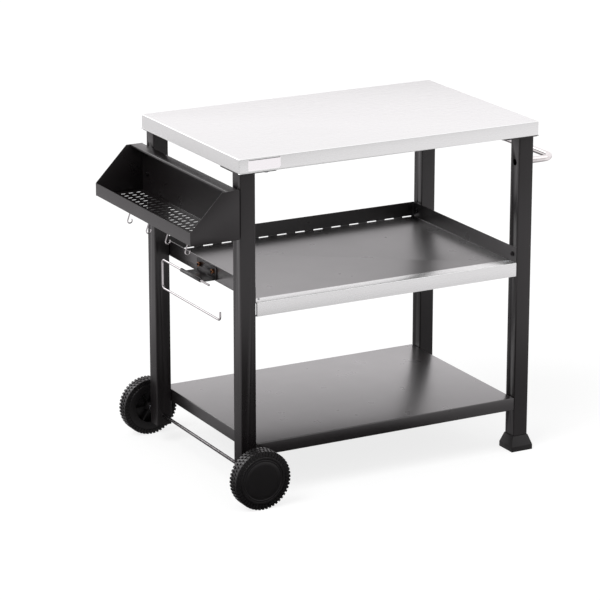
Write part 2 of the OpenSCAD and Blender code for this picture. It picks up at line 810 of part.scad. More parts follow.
module hook(i) {
    color("lightgray") outward() translate([hook_axis_u, hook_y(i), hook_axis_z]) rotate([0, -hook_lean, 0]) {
        mirror([1, 0, 0]) hook_curl();
        translate([-hook_r, 0, -hook_shank]) cylinder(d = hook_wire, h = hook_shank, $fn = 16);
        translate([-2 * hook_r, 0, -hook_shank]) mirror([0, 0, 1]) hook_curl();
    }
}

// Towel holder: local +X points away from the table, from the tray's left wall
module from_tray_wall() {
    translate([-leg_gap / 2, 0, 0]) mirror([1, 0, 0]) children();
}

module bracket_bolt_places() {
    translate([-leg_gap / 2, 0, 0]) for (s = [-1, 1])
        translate([0, bracket_y + s * bracket_bolt_gap / 2, bracket_z + bracket_bolt_up]) children();
}

module towel_bracket() {
    color("#2a292a") difference() {
        from_tray_wall() translate([0, bracket_y, bracket_z]) {
            translate([0, -bracket_length / 2, 0]) cube([bracket_t, bracket_length, bracket_leg]);
            difference() {
                union() {
                    translate([0, -bracket_length / 2, 0]) cube([bracket_reach, bracket_length, bracket_t]);
                    translate([bracket_reach, 0, barrel_r])
                        rod_y(barrel_r, -bracket_length / 2, bracket_length / 2);
                }
                translate([bracket_reach, 0, barrel_r])
                    rod_y(barrel_bore_r, -bracket_length, bracket_length);
            }
        }
        bracket_bolt_places() rod_x(bolt_hole_r, -bracket_t - cut, cut);
    }
}

module bracket_bolts() {
    color("#1c1b1c") bracket_bolt_places() {
        hex_x(bolt_hex_r, shelf_sheet, shelf_sheet + bolt_head_h);
        rod_x(bolt_r, -bracket_t - hex_nut_h - bolt_past_nut, shelf_sheet);
    }
}

module bracket_nuts() {
    color("peru") bracket_bolt_places() difference() {
        hex_x(bolt_hex_r, -bracket_t - hex_nut_h, -bracket_t);
        rod_x(bolt_r + running_fit, -bracket_t - hex_nut_h - cut, 0);
    }
}

module bar_bend_at(y, z, turn) {
    translate([0, y, z]) rotate([90, 0, 90]) rotate([0, 0, turn]) rotate_extrude(angle = 90)
        translate([bar_bend, 0]) circle(r = bar_r);
}

module towel_bar() {
    back = bar_back_y - bar_bend;
    low = -bar_drop + bar_bend;
    front = bar_back_y - bar_lower + bar_bend;
    color("lightgray") from_tray_wall() translate([bracket_reach, 0, barrel_z]) {
        rod_y(bar_r, bar_back_y - bar_upper, back);
        bar_bend_at(back, -bar_bend, 0);
        translate([0, bar_back_y, low]) cylinder(r = bar_r, h = bar_drop - 2 * bar_bend);
        bar_bend_at(back, low, -90);
        translate([0, 0, -bar_drop]) rod_y(bar_r, front, back);
        bar_bend_at(front, low, 180);
        translate([0, front - bar_bend, low]) cylinder(r = bar_r, h = bar_tip - bar_bend);
    }
}

place() worktop();
place() stiffener(-1);  // stiffener_front
place() stiffener(1);  // stiffener_rear
place() badge_plate();
place() corner_plate(-1, -1);  // corner_plate_front_left
place() corner_plate(1, -1);  // corner_plate_front_right
place() corner_plate(-1, 1);  // corner_plate_rear_left
place() corner_plate(1, 1);  // corner_plate_rear_right
place() plate_screws();
place() plate_nuts();
place() left_leg(-1);  // leg_front_left
place() right_leg(-1);  // leg_front_right
place() left_leg(1);  // leg_rear_left
place() right_leg(1);  // leg_rear_right
place() foot(-1);  // foot_front
place() foot(1);  // foot_rear
place() leg_plug(-1);  // leg_plug_front
place() leg_plug(1);  // leg_plug_rear
place() leg_rivet_nuts();
place() middle_tray();
place() tray_trim();
place() trim_screws();
place() tray_bolts();
place() bottom_shelf();
place() shelf_bolts();
place() axle();
place() axle_spacers();
place() axle_washers();
place() axle_nuts();
place() wheel(-1);  // wheel_front
place() hub_cap(-1);  // hub_cap_front
place() wheel(1);  // wheel_rear
place() hub_cap(1);  // hub_cap_rear
place() handle();
place() handle_bushes();
place() handle_bolts();
place() spice_box_body();
place() spice_box_end(-1);  // spice_box_end_front
place() spice_box_end(1);  // spice_box_end_rear
place() box_spacers();
place() box_bolts();
place() hook(0);  // hook_1
place() hook(1);  // hook_2
place() hook(2);  // hook_3
place() hook(3);  // hook_4
place() towel_bracket();
place() bracket_bolts();
place() bracket_nuts();
place() towel_bar();
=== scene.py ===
"""Outdoor pizza oven table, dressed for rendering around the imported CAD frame.

Folded sheet parts get real bend radii, the moulded wheels their tread blocks, and
every part the finish that its maker gave it. Run as a script in Blender 4.5.
"""

import json
import math

import bmesh
import bpy
from mathutils import Matrix, Vector


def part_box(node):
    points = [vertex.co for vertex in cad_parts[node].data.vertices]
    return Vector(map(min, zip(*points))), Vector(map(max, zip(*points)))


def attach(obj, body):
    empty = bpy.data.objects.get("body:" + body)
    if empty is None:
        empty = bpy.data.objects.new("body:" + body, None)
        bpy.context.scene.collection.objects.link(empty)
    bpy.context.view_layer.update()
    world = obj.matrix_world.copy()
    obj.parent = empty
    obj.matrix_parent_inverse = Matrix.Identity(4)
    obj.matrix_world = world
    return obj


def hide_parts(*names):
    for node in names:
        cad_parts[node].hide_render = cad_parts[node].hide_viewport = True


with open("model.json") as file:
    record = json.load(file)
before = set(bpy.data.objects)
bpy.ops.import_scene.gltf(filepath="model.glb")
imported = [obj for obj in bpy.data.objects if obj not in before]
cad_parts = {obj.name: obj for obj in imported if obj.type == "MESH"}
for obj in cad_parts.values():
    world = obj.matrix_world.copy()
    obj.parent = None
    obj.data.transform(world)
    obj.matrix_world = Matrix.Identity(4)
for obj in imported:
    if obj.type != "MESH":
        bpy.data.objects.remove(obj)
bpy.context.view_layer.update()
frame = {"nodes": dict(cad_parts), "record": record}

bl_info = {
    "name": "Outdoor pizza oven table",
    "version": (1, 0, 0),
    "blender": (4, 5, 0),
    "location": "3D View > Sidebar > Oven table",
    "description": "Builds the finished pieces of a stainless and black steel oven table",
    "category": "Add Mesh",
}

MM = 0.001
X, Y, Z = range(3)

# How close a point lies to a plane that it is in, and to a point that it is joined to
NEAR = 2e-5
MERGE = 2e-6

# What the record says of each CAD node: the body it moves with and its material slot
BODY_OF = {
    node: body
    for body, nodes in frame["record"]["behaviour"]["bodies"].items()
    for node in nodes
}
SLOT_OF = {node: obj.data.materials[0].name for node, obj in frame["nodes"].items()}

# The sheet that each kind of part is folded from, and the skirts' inward return
BLACK_SHEET = 1.2 * MM
STAINLESS_SHEET = 1 * MM
SKIRT_RETURN = 10 * MM

# The small rounding on the handle's tube ends and on bolts, nuts and the axle
TUBE_END = 0.2 * MM
TURNED_EDGE = 0.3 * MM

# The wheels, in millimetres: radius and height of each corner of the spun profiles
WHEEL_WIDTH = 34
TREAD_RADIUS = 72.5
WHEEL_PROFILE = (
    (4.1, -9), (12, -9), (12, 18), (55.3, 18), (55.3, 29), (65.5, 29),
    (65.5, 5), (41, 5), (41, 0.6), (42, 0), (59.6, 0), (60, 2), (70.3, 2.4),
    (70.3, 31.6), (58.6, 32), (58.2, 34), (51.9, 34), (51.9, 22), (4.1, 22),
)
CAP_PROFILE = (
    (0, 34), (12, 33.97), (26, 33.85), (38, 33.62), (46, 33.35), (47, 32.9),
    (47.8, 32.9), (48.6, 33.5), (50.6, 33.5), (51.4, 32.9), (51.4, 32),
    (47.5, 32), (47.5, 22.1), (45.5, 22.1), (45.5, 32), (0, 32),
)

# Plain white, and the faintly rosy white that the steel and the shelves mirror
WHITE = (1, 1, 1, 1)
MIRRORED_WHITE = (1, 0.965, 0.985, 1)

# Ovals of painted shade on the floor, seen only in reflections: centre, radii and darkest share
MIRRORED_SHADE_OVALS = (
    ((-0.15, -0.6, 0), (0.62, 1.15, 1), 0.1),
    ((0.15, 0.2, 0), (1.45, 1.6, 1), 0.4),
    ((0.75, -1.7, 0), (0.9, 0.9, 1), 0.74),
    ((0.1, 1.7, 0), (0.9, 1.0, 1), 0.5),
)


def linear(code):
    """An sRGB hex colour as the linear red, green and blue that Blender works in."""
    shares = [int(code[i : i + 2], 16) / 255 for i in (1, 3, 5)]
    return [s / 12.92 if s <= 0.04045 else ((s + 0.055) / 1.055) ** 2.4 for s in shares]


def darker(colour, depth):
    """A colour with a share of its light taken away."""
    return [c * (1 - depth) for c in colour]


def per_metre(millimetres):
    """The texture scale that makes one feature this many millimetres wide."""
    return 1 / (millimetres * MM)


# Settings that a user would change


class OvenTableSizes(bpy.types.PropertyGroup):
    """Sizes of the forms that are finer than the CAD part."""

    fold: bpy.props.FloatProperty(
        name="Fold radius",
        description="Outer radius of the bends in the folded sheets",
        default=2.4 * MM,
        min=1.3 * MM,
        max=2.9 * MM,
        unit="LENGTH",
    )
    edge: bpy.props.FloatProperty(
        name="Edge break",
        description="Width of the small rounding on cut and turned edges",
        default=0.35 * MM,
        min=0.1 * MM,
        max=0.5 * MM,
        unit="LENGTH",
    )
    wire_tip: bpy.props.FloatProperty(
        name="Wire tip rounding",
        description="Rounding of the cut ends of the hooks and the towel bar",
        default=1.1 * MM,
        min=0.3 * MM,
        max=1.4 * MM,
        unit="LENGTH",
    )
    moulding: bpy.props.FloatProperty(
        name="Moulded edge radius",
        description="Radius on the outer edges of the plastic feet",
        default=1.2 * MM,
        min=0.4 * MM,
        max=2.5 * MM,
        unit="LENGTH",
    )
    block_count: bpy.props.IntProperty(
        name="Tread blocks",
        description="Number of tread blocks in each of the three rows",
        default=48,
        min=24,
        max=60,
    )


class OvenTableColours(bpy.types.PropertyGroup):
    """Colours of the finishes."""

    stainless: bpy.props.FloatVectorProperty(
        name="Brushed stainless",
        description="Colour of the worktop and of the trim on the tray",
        subtype="COLOR",
        size=3,
        min=0,
        max=1,
        default=linear("#E6E8E7"),
    )
    polished: bpy.props.FloatVectorProperty(
        name="Polished stainless",
        description="Colour of the hooks and the towel bar",
        subtype="COLOR",
        size=3,
        min=0,
        max=1,
        default=linear("#BFBCBD"),
    )
    coating: bpy.props.FloatVectorProperty(
        name="Black powder coat",
        description="Colour of the frame, the shelves and the spice box",
        subtype="COLOR",
        size=3,
        min=0,
        max=1,
        default=linear("#191617"),
    )
    plastic: bpy.props.FloatVectorProperty(
        name="Black plastic",
        description="Colour of the wheels, the feet and the plugs",
        subtype="COLOR",
        size=3,
        min=0,
        max=1,
        default=linear("#121011"),
    )
    floor: bpy.props.FloatVectorProperty(
        name="Studio floor",
        description="Colour of the floor that the table stands on",
        subtype="COLOR",
        size=3,
        min=0,
        max=1,
        default=linear("#F2F2F2"),
    )


# Materials


def add(tree, kind, settings=None, inputs=None, links=None, stops=()):
    """Adds one node with its options, input values, links and colour stops."""
    node = tree.nodes.new(kind)
    for name, value in (settings or {}).items():
        setattr(node, name, value)
    for name, value in (inputs or {}).items():
        node.inputs[name].default_value = value
    for name, (source, socket) in (links or {}).items():
        tree.links.new(source.outputs[socket], node.inputs[name])
    for number, (position, colour) in enumerate(stops):
        node.color_ramp.elements[number].color = (*colour, 1)
        node.color_ramp.elements[number].position = position
    return node


def new_material(name):
    """An empty node material, and the coordinates that its patterns are drawn on."""
    material = bpy.data.materials.new(name)
    material.use_nodes = True
    tree = material.node_tree
    tree.nodes.clear()
    place = add(tree, "ShaderNodeTexCoord")
    return material, tree, place


def close_material(tree, skin, colour, roughness, relief=None):
    """Joins colour, roughness and relief in one surface and gives it to the material."""
    links = {"Base Color": (colour, "Color"), "Roughness": (roughness, "Result")}
    if relief:
        links["Normal"] = (relief, "Normal")
    surface = add(tree, "ShaderNodeBsdfPrincipled", inputs=skin, links=links)
    add(tree, "ShaderNodeOutputMaterial", links={"Surface": (surface, "BSDF")})


def brushed_stainless(colours):
    """Stainless sheet, belt-brushed along its length.

    The brushing stretches reflections across the grain into a soft sheen, and
    faint long streaks run from end to end. Real scratches are about 0.1 mm
    apart; they are drawn 1.2 mm apart so that they show in a render. The sheet
    also waves very slightly, a hand's width or more from crest to crest.
    """
    material, tree, place = new_material("Stainless_sheet_belt_brushed")
    along = add(
        tree,
        "ShaderNodeMapping",
        inputs={"Scale": (per_metre(140), per_metre(1.2), per_metre(1.2))},
        links={"Vector": (place, "Object")},
    )
    grain = add(
        tree,
        "ShaderNodeTexNoise",
        inputs={"Scale": 1.0, "Detail": 4.0, "Roughness": 0.62},
        links={"Vector": (along, "Vector")},
    )
    wander = add(
        tree,
        "ShaderNodeTexNoise",
        inputs={"Scale": per_metre(260), "Detail": 1.0},
        links={"Vector": (place, "Object")},
    )
    colour = add(
        tree,
        "ShaderNodeValToRGB",
        links={"Fac": (grain, "Fac")},
        stops=[(0.3, darker(colours.stainless, 0.035)), (0.7, colours.stainless)],
    )
    roughness = add(
        tree,
        "ShaderNodeMapRange",
        inputs={"To Min": 0.22, "To Max": 0.32},
        links={"Value": (grain, "Fac")},
    )
    waves = add(
        tree,
        "ShaderNodeBump",
        inputs={"Strength": 0.12, "Distance": 0.6 * MM},
        links={"Height": (wander, "Fac")},
    )
    lines = add(
        tree,
        "ShaderNodeBump",
        inputs={"Strength": 0.07, "Distance": 0.05 * MM},
        links={"Height": (grain, "Fac"), "Normal": (waves, "Normal")},
    )
    close_material(tree, {"Metallic": 1.0}, colour, roughness, lines)
    return material


def polished_stainless(colours):
    """Stainless wire, drawn and then buffed.

    Buffing leaves a near mirror with crisp highlights, and the drawing marks
    only break them up a little. The marks are drawn 0.5 mm apart to show.
    """
    material, tree, place = new_material("Stainless_wire_buffed")
    marks = add(
        tree,
        "ShaderNodeTexNoise",
        inputs={"Scale": per_metre(0.5), "Detail": 2.0},
        links={"Vector": (place, "Object")},
    )
    colour = add(
        tree,
        "ShaderNodeValToRGB",
        links={"Fac": (marks, "Fac")},
        stops=[(0.3, darker(colours.polished, 0.04)), (0.7, colours.polished)],
    )
    roughness = add(
        tree,
        "ShaderNodeMapRange",
        inputs={"To Min": 0.09, "To Max": 0.17},
        links={"Value": (marks, "Fac")},
    )
    relief = add(
        tree,
        "ShaderNodeBump",
        inputs={"Strength": 0.05, "Distance": 0.02 * MM},
        links={"Height": (marks, "Fac")},
    )
    close_material(tree, {"Metallic": 1.0}, colour, roughness, relief)
    return material


def powder_coat(colours, name="Steel_black_powder_coat", clear=0.0, peel_depth=0.14):
    """Mild steel with a baked black polyester powder coat.

    The melted powder leaves a satin skin with a fine orange peel of about
    1.6 mm, so that lit faces show a soft, slightly grainy sheen.
    """
    material, tree, place = new_material(name)
    peel = add(
        tree,
        "ShaderNodeTexNoise",
        inputs={"Scale": per_metre(1.6), "Detail": 2.0, "Roughness": 0.55},
        links={"Vector": (place, "Object")},
    )
    film = add(
        tree,
        "ShaderNodeTexNoise",
        inputs={"Scale": per_metre(70), "Detail": 3.0},
        links={"Vector": (place, "Object")},
    )
    colour = add(
        tree,
        "ShaderNodeValToRGB",
        links={"Fac": (peel, "Fac")},
        stops=[(0.3, darker(colours.coating, 0.06)), (0.7, colours.coating)],
    )
    roughness = add(
        tree,
        "ShaderNodeMapRange",
        inputs={"To Min": 0.24, "To Max": 0.34},
        links={"Value": (film, "Fac")},
    )
    relief = add(
        tree,
        "ShaderNodeBump",
        inputs={"Strength": peel_depth, "Distance": 0.04 * MM},
        links={"Height": (peel, "Fac")},
    )
    skin = {
        "IOR": 1.5,
        "Specular IOR Level": 0.5,
        "Coat Weight": clear,
        "Coat Roughness": 0.3,
        "Coat IOR": 1.55,
    }
    close_material(tree, skin, colour, roughness, relief)
    return material


def clear_coated(colours):
    """The same black under a second, clear coat, which the flat sheets get.

    Two clear skins reflect twice: seen at a low angle, the shelves turn grey.
    """
    return powder_coat(colours, "Steel_black_powder_and_clear_coat", 1.0, 0.06)


def moulded_plastic(colours):
    """Polypropylene, injection moulded in a spark-eroded tool.

    The eroded texture, about 0.9 mm coarse here, gives a dull, even black with
    soft highlights on the rounded edges.
    """
    material, tree, place = new_material("Polypropylene_injection_moulded")
    texture = add(
        tree,
        "ShaderNodeTexNoise",
        inputs={"Scale": per_metre(0.9), "Detail": 2.0},
        links={"Vector": (place, "Object")},
    )
    flow = add(
        tree,
        "ShaderNodeTexNoise",
        inputs={"Scale": per_metre(35), "Detail": 2.0},
        links={"Vector": (place, "Object")},
    )
    colour = add(
        tree,
        "ShaderNodeValToRGB",
        links={"Fac": (flow, "Fac")},
        stops=[(0.3, darker(colours.plastic, 0.15)), (0.7, colours.plastic)],
    )
    roughness = add(
        tree,
        "ShaderNodeMapRange",
        inputs={"To Min": 0.32, "To Max": 0.44},
        links={"Value": (texture, "Fac")},
    )
    relief = add(
        tree,
        "ShaderNodeBump",
        inputs={"Strength": 0.2, "Distance": 0.04 * MM},
        links={"Height": (texture, "Fac")},
    )
    skin = {"IOR": 1.49, "Specular IOR Level": 0.5}
    close_material(tree, skin, colour, roughness, relief)
    return material


def plated_steel(name, light, dark, rough_low, rough_high, patch):
    """Steel with a plated or oxide skin, blotchy in patches of some millimetres."""
    material, tree, place = new_material(name)
    blotch = add(
        tree,
        "ShaderNodeTexNoise",
        inputs={"Scale": per_metre(patch), "Detail": 3.0},
        links={"Vector": (place, "Object")},
    )
    colour = add(
        tree,
        "ShaderNodeValToRGB",
        links={"Fac": (blotch, "Fac")},
        stops=[(0.35, linear(dark)), (0.65, linear(light))],
    )
    roughness = add(
        tree,
        "ShaderNodeMapRange",
        inputs={"To Min": rough_low, "To Max": rough_high},
        links={"Value": (blotch, "Fac")},
    )
    relief = add(
        tree,
        "ShaderNodeBump",
        inputs={"Strength": 0.08, "Distance": 0.03 * MM},
        links={"Height": (blotch, "Fac")},
    )
    close_material(tree, {"Metallic": 1.0}, colour, roughness, relief)
    return material


def chromed_tube(colours):
    """Steel tube, bright chrome plated: the palest, sharpest mirror on the table."""
    return plated_steel("Steel_tube_chrome_plated", "#E6E3E2", "#DCD9D8", 0.07, 0.12, 8)


def zinc_plate(colours):
    """Steel, bright zinc plated: a cool grey with a faint cloudy shimmer."""
    return plated_steel("Steel_bright_zinc_plated", "#C9CCD0", "#A9ACB2", 0.24, 0.38, 4)


def black_oxide(colours):
    """Steel bolts, chemically blackened and oiled: near black with a low metal gleam."""
    return plated_steel("Steel_black_oxide", "#454344", "#2E2C2D", 0.3, 0.46, 3)


def black_oxide_rod(colours):
    """A ground rod under the same thin black: more of the bright steel shows through."""
    return plated_steel("Steel_rod_black_oxide", "#7A7879", "#5A5859", 0.22, 0.34, 6)


def yellow_zinc(colours):
    """Steel bolts, zinc plated and yellow passivated: brown-gold with rainbow blotches."""
    return plated_steel("Steel_yellow_zinc_plated", "#D39A6E", "#A8684A", 0.26, 0.4, 3)


def anodised_badge(colours):
    """Aluminium badge plate, finely brushed and clear anodised, left blank.

    It reads a little whiter and smoother than the steel behind it.
    """
    material, tree, place = new_material("Aluminium_badge_clear_anodised")
    along = add(
        tree,
        "ShaderNodeMapping",
        inputs={"Scale": (per_metre(30), per_metre(0.8), per_metre(0.8))},
        links={"Vector": (place, "Object")},
    )
    grain = add(
        tree,
        "ShaderNodeTexNoise",
        inputs={"Scale": 1.0, "Detail": 3.0},
        links={"Vector": (along, "Vector")},
    )
    silver = linear("#F4F3F4")
    colour = add(
        tree,
        "ShaderNodeValToRGB",
        links={"Fac": (grain, "Fac")},
        stops=[(0.3, darker(silver, 0.02)), (0.7, silver)],
    )
    roughness = add(
        tree,
        "ShaderNodeMapRange",
        inputs={"To Min": 0.14, "To Max": 0.2},
        links={"Value": (grain, "Fac")},
    )
    close_material(tree, {"Metallic": 1.0}, colour, roughness)
    return material


FINISHES = {
    "brushed_stainless": brushed_stainless,
    "polished_stainless": polished_stainless,
    "chromed_tube": chromed_tube,
    "black_powder_coat": powder_coat,
    "clear_coated_sheet": clear_coated,
    "black_plastic": moulded_plastic,
    "zinc_steel": zinc_plate,
    "black_steel": black_oxide,
    "ground_rod": black_oxide_rod,
    "yellow_zinc": yellow_zinc,
    "badge_metal": anodised_badge,
}
made_finishes = {}


def finish_of(kind):
    """The material of one finish, made the first time it is asked for."""
    if kind not in made_finishes:
        made_finishes[kind] = FINISHES[kind](bpy.context.scene.oven_table_colours)
    return made_finishes[kind]


# Modelling helpers


def box_mesh(low, high):
    """A bmesh box between two corners."""
    bm = bmesh.new()
    add_box(bm, low, high)
    return bm


def flat_sheet(low, high, z):
    """A bmesh with one level face between two corners."""
    (left, front), (right, back) = low, high
    middle = Matrix.Translation(((left + right) / 2, (front + back) / 2, z))
    spread = Matrix.Diagonal((right - left, back - front, 1, 1))
    bm = bmesh.new()
    bmesh.ops.create_grid(bm, x_segments=1, y_segments=1, size=0.5, matrix=middle @ spread)
    return bm


def add_box(bm, low, high):
    """Adds a box between two corners to a bmesh and returns its vertices."""
    low, high = Vector(low), Vector(high)
    matrix = Matrix.Translation((low + high) / 2) @ Matrix.Diagonal((*(high - low), 1))
    return bmesh.ops.create_cube(bm, size=1.0, matrix=matrix)["verts"]


def edges_at(bm, axis, value, source=None):
    """The edges that lie wholly in the plane where this axis has this value."""
    return [
        e
        for e in (source or bm.edges)
        if all(abs(v.co[axis] - value) < NEAR for v in e.verts)
    ]


def edges_along(bm, axis):
    """The edges that run parallel to an axis."""
    found = []
    for e in bm.edges:
        run = e.verts[1].co - e.verts[0].co
        if abs(abs(run[axis]) - run.length) < NEAR:
            found.append(e)
    return found


def sharp_edges(bm, degrees=60):
    """The edges between two faces that meet at more than this angle."""
    limit = math.radians(degrees)
    return [e for e in bm.edges if len(e.link_faces) == 2 and e.calc_face_angle() > limit]


def facing(bm, direction):
    """The faces that look squarely in a direction."""
    return [f for f in bm.faces if f.normal.dot(Vector(direction)) > 0.9]


def round_over(bm, edges, radius, segments):
    """Rounds edges to a radius."""
    bmesh.ops.bevel(
        bm,
        geom=list(edges),
        offset=radius,
        offset_type="OFFSET",
        segments=segments,
        profile=0.5,
        affect="EDGES",
        clamp_overlap=True,
        material=-1,
    )


def drag_edges(bm, edges, shift):
    """Extrudes open edges by a vector and returns the new far edges."""
    made = bmesh.ops.extrude_edge_only(bm, edges=edges)["geom"]
    verts = [g for g in made if isinstance(g, bmesh.types.BMVert)]
    bmesh.ops.translate(bm, verts=verts, vec=shift)
    far = set(verts)
    return [
        g
        for g in made
        if isinstance(g, bmesh.types.BMEdge) and all(v in far for v in g.verts)
    ]


def thicken(bm, thickness):
    """Gives an open sheet its thickness behind its faces."""
    bmesh.ops.solidify(bm, geom=bm.faces[:], thickness=thickness)


def open_below(bm, rim):
    """Opens a box's underside and leaves a rim round it, the return of its folds."""
    underside = facing(bm, (0, 0, -1))
    bmesh.ops.inset_region(bm, faces=underside, thickness=rim, use_even_offset=True)
    bmesh.ops.delete(bm, geom=underside, context="FACES")


def finish_piece(bm, name, nodes, smooth=38, finish=None):
    """Turns a bmesh into a finished object that stands for CAD nodes of one body.

    Edges are shaded smooth up to an angle in degrees. The finish is that of the record's
    slot, unless another is named that some parts of that slot have.
    """
    mesh = bpy.data.meshes.new(name)
    bm.to_mesh(mesh)
    bm.free()
    mesh.shade_smooth()
    mesh.set_sharp_from_angle(angle=math.radians(smooth))
    slot = SLOT_OF[nodes[0]]
    mesh.materials.append(finish_of(finish or slot))
    piece = bpy.data.objects.new(name, mesh)
    bpy.context.scene.collection.objects.link(piece)
    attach(piece, BODY_OF[nodes[0]])
    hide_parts(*nodes)
    return piece


def merged_copy(node):
    """A bmesh copy of a CAD node with its loose triangles joined and flat faces whole."""
    flat_within = math.radians(0.4)
    bm = bmesh.new()
    bm.from_mesh(frame["nodes"][node].data)
    bmesh.ops.remove_doubles(bm, verts=bm.verts[:], dist=MERGE)
    bmesh.ops.dissolve_limit(
        bm,
        angle_limit=flat_within,
        use_dissolve_boundaries=False,
        verts=bm.verts[:],
        edges=bm.edges[:],
    )
    return bm


def softened(node, name, width, segments=2, degrees=50, finish=None):
    """A CAD node's form with its sharp edges broken."""
    bm = merged_copy(node)
    round_over(bm, sharp_edges(bm, degrees), width, segments)
    return finish_piece(bm, name, [node], finish=finish)


def keep_shape(node):
    """Leaves a CAD node's form as it is and gives it its finish."""
    frame["nodes"][node].material_slots[0].material = finish_of(SLOT_OF[node])


# Worktop


class OVEN_TABLE_OT_worktop(bpy.types.Operator):
    """Builds the folded stainless worktop, its channels and its blank badge plate"""

    bl_idname = "oven_table.worktop"
    bl_label = "Worktop"

    def execute(self, context):
        sizes = context.scene.oven_table_sizes
        low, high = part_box("worktop")
        corner, lip_return = 3 * MM, 20 * MM
        bm = box_mesh(low, high)
        round_over(bm, edges_along(bm, Z), corner, segments=5)
        open_below(bm, lip_return)
        top_folds = edges_at(bm, Z, high.z)
        lower_folds = [
            e
            for e in edges_at(bm, Z, low.z)
            if any(abs(f.normal.z) < 0.5 for f in e.link_faces)
        ]
        round_over(bm, top_folds + lower_folds, sizes.fold, segments=4)
        thicken(bm, STAINLESS_SHEET)
        finish_piece(bm, "worktop_sheet", ["worktop"])
        for side in ("front", "rear"):
            softened(f"stiffener_{side}", f"channel_{side}", sizes.edge)
        badge_plate()
        return {"FINISHED"}


def badge_plate():
    """A small plate with rounded corners and a bevelled border, left blank."""
    low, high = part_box("badge_plate")
    corner, border, edge_thickness = 2 * MM, 1.8 * MM, 0.15 * MM
    bm = box_mesh(low, high)
    round_over(bm, edges_along(bm, Y), corner, segments=5)
    front = facing(bm, (0, -1, 0))
    outline = [v for f in front for v in f.verts]
    bmesh.ops.inset_region(bm, faces=front, thickness=border, use_even_offset=True)
    for v in outline:
        v.co.y = high.y - edge_thickness
    finish_piece(bm, "badge_blank", ["badge_plate"], smooth=8)


# Frame


class OVEN_TABLE_OT_frame(bpy.types.Operator):
    """Builds the legs with their corner plates, feet and end plugs"""

    bl_idname = "oven_table.frame"
    bl_label = "Legs, plates and feet"

    def execute(self, context):
        sizes = context.scene.oven_table_sizes
        for depth in ("front", "rear"):
            for side in ("left", "right"):
                softened(f"leg_{depth}_{side}", f"leg_tube_{depth}_{side}", sizes.edge)
                softened(
                    f"corner_plate_{depth}_{side}",
                    f"plate_{depth}_{side}",
                    sizes.edge,
                )
            foot(depth, sizes)
            softened(f"leg_plug_{depth}", f"end_plug_{depth}", sizes.edge)
        return {"FINISHED"}


def foot(depth, sizes):
    """A plastic foot: an upright band, a taper up to the leg and a socket for it."""
    low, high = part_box(f"foot_{depth}")
    middle = (low + high) / 2
    band_z = low.z + 13 * MM
    sole_z = low.z + 4 * MM
    half_width = (high.x - low.x) / 2
    half_collar, half_socket = 21.2 * MM, 20.1 * MM
    bm = box_mesh(low, (high.x, high.y, band_z))
    top = facing(bm, (0, 0, 1))
    raised = bmesh.ops.extrude_discrete_faces(bm, faces=top)["faces"]
    bmesh.ops.delete(bm, geom=raised, context="FACES")
    collar = drag_edges(bm, edges_at(bm, Z, band_z), (0, 0, high.z - band_z))
    draw_in(bm, collar, middle, half_collar / half_width)
    socket = drag_edges(bm, collar, (0, 0, 0))
    draw_in(bm, socket, middle, half_socket / half_collar)
    sole = drag_edges(bm, socket, (0, 0, sole_z - high.z))
    bmesh.ops.edgeloop_fill(bm, edges=sole)
    bmesh.ops.remove_doubles(bm, verts=bm.verts[:], dist=MERGE)
    bmesh.ops.recalc_face_normals(bm, faces=bm.faces[:])
    past_socket = (half_collar + half_socket) / 2
    outer = [
        e
        for e in sharp_edges(bm, 12)
        if max(abs(v.co.x - middle.x) for v in e.verts) > past_socket
        and max(abs(v.co.y - middle.y) for v in e.verts) > past_socket
        and not all(abs(v.co.z - high.z) < NEAR for v in e.verts)
    ]
    round_over(bm, outer, sizes.moulding, segments=3)
    finish_piece(bm, f"foot_cup_{depth}", [f"foot_{depth}"])


def draw_in(bm, edges, middle, share):
    """Draws a level ring of edges in towards the upright line through a point."""
    bmesh.ops.scale(
        bm,
        verts=list({v for e in edges for v in e.verts}),
        vec=(share, share, 1),
        space=Matrix.Translation(-Vector((middle.x, middle.y, 0))),
    )


# Tray and shelf


class OVEN_TABLE_OT_tray(bpy.types.Operator):
    """Builds the folded tray with its drain slots and its stainless trim"""

    bl_idname = "oven_table.tray"
    bl_label = "Middle tray"

    def execute(self, context):
        tray_sheet(context.scene.oven_table_sizes)
        tray_trim()
        return {"FINISHED"}


def tray_sheet(sizes):
    """The black tray: a floor with drain slots, three raised walls and a front skirt."""
    low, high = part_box("middle_tray")
    floor_z = 486 * MM
    left, right = low.x + BLACK_SHEET, high.x - BLACK_SHEET
    back = high.y - BLACK_SHEET
    walls_start = low.y + 3 * MM
    bm = flat_sheet((left, low.y), (right, back), floor_z)
    bmesh.ops.bisect_plane(
        bm,
        geom=bm.verts[:] + bm.edges[:] + bm.faces[:],
        plane_co=(0, walls_start, 0),
        plane_no=(0, 1, 0),
    )
    sides = [
        e
        for e in bm.edges
        if e.is_boundary and min(v.co.y for v in e.verts) > walls_start - NEAR
    ]
    front = edges_at(bm, Y, low.y)
    drag_edges(bm, sides, (0, 0, high.z - floor_z))
    skirt = drag_edges(bm, front, (0, 0, low.z - floor_z))
    drag_edges(bm, skirt, (0, SKIRT_RETURN, 0))
    folds = sharp_edges(bm)
    front_folds = edges_at(bm, Y, low.y, folds)
    wall_folds = [
        e
        for e in folds
        if e not in front_folds and min(v.co.z for v in e.verts) > floor_z - NEAR
    ]
    inner = sizes.fold - BLACK_SHEET
    round_over(bm, wall_folds, inner, segments=3)
    round_over(bm, edges_at(bm, Y, low.y, sharp_edges(bm)), sizes.fold, segments=4)
    cut_drains(bm, back, inner, floor_z)
    thicken(bm, BLACK_SHEET)
    finish_piece(bm, "tray_sheet", ["middle_tray"], finish="clear_coated_sheet")


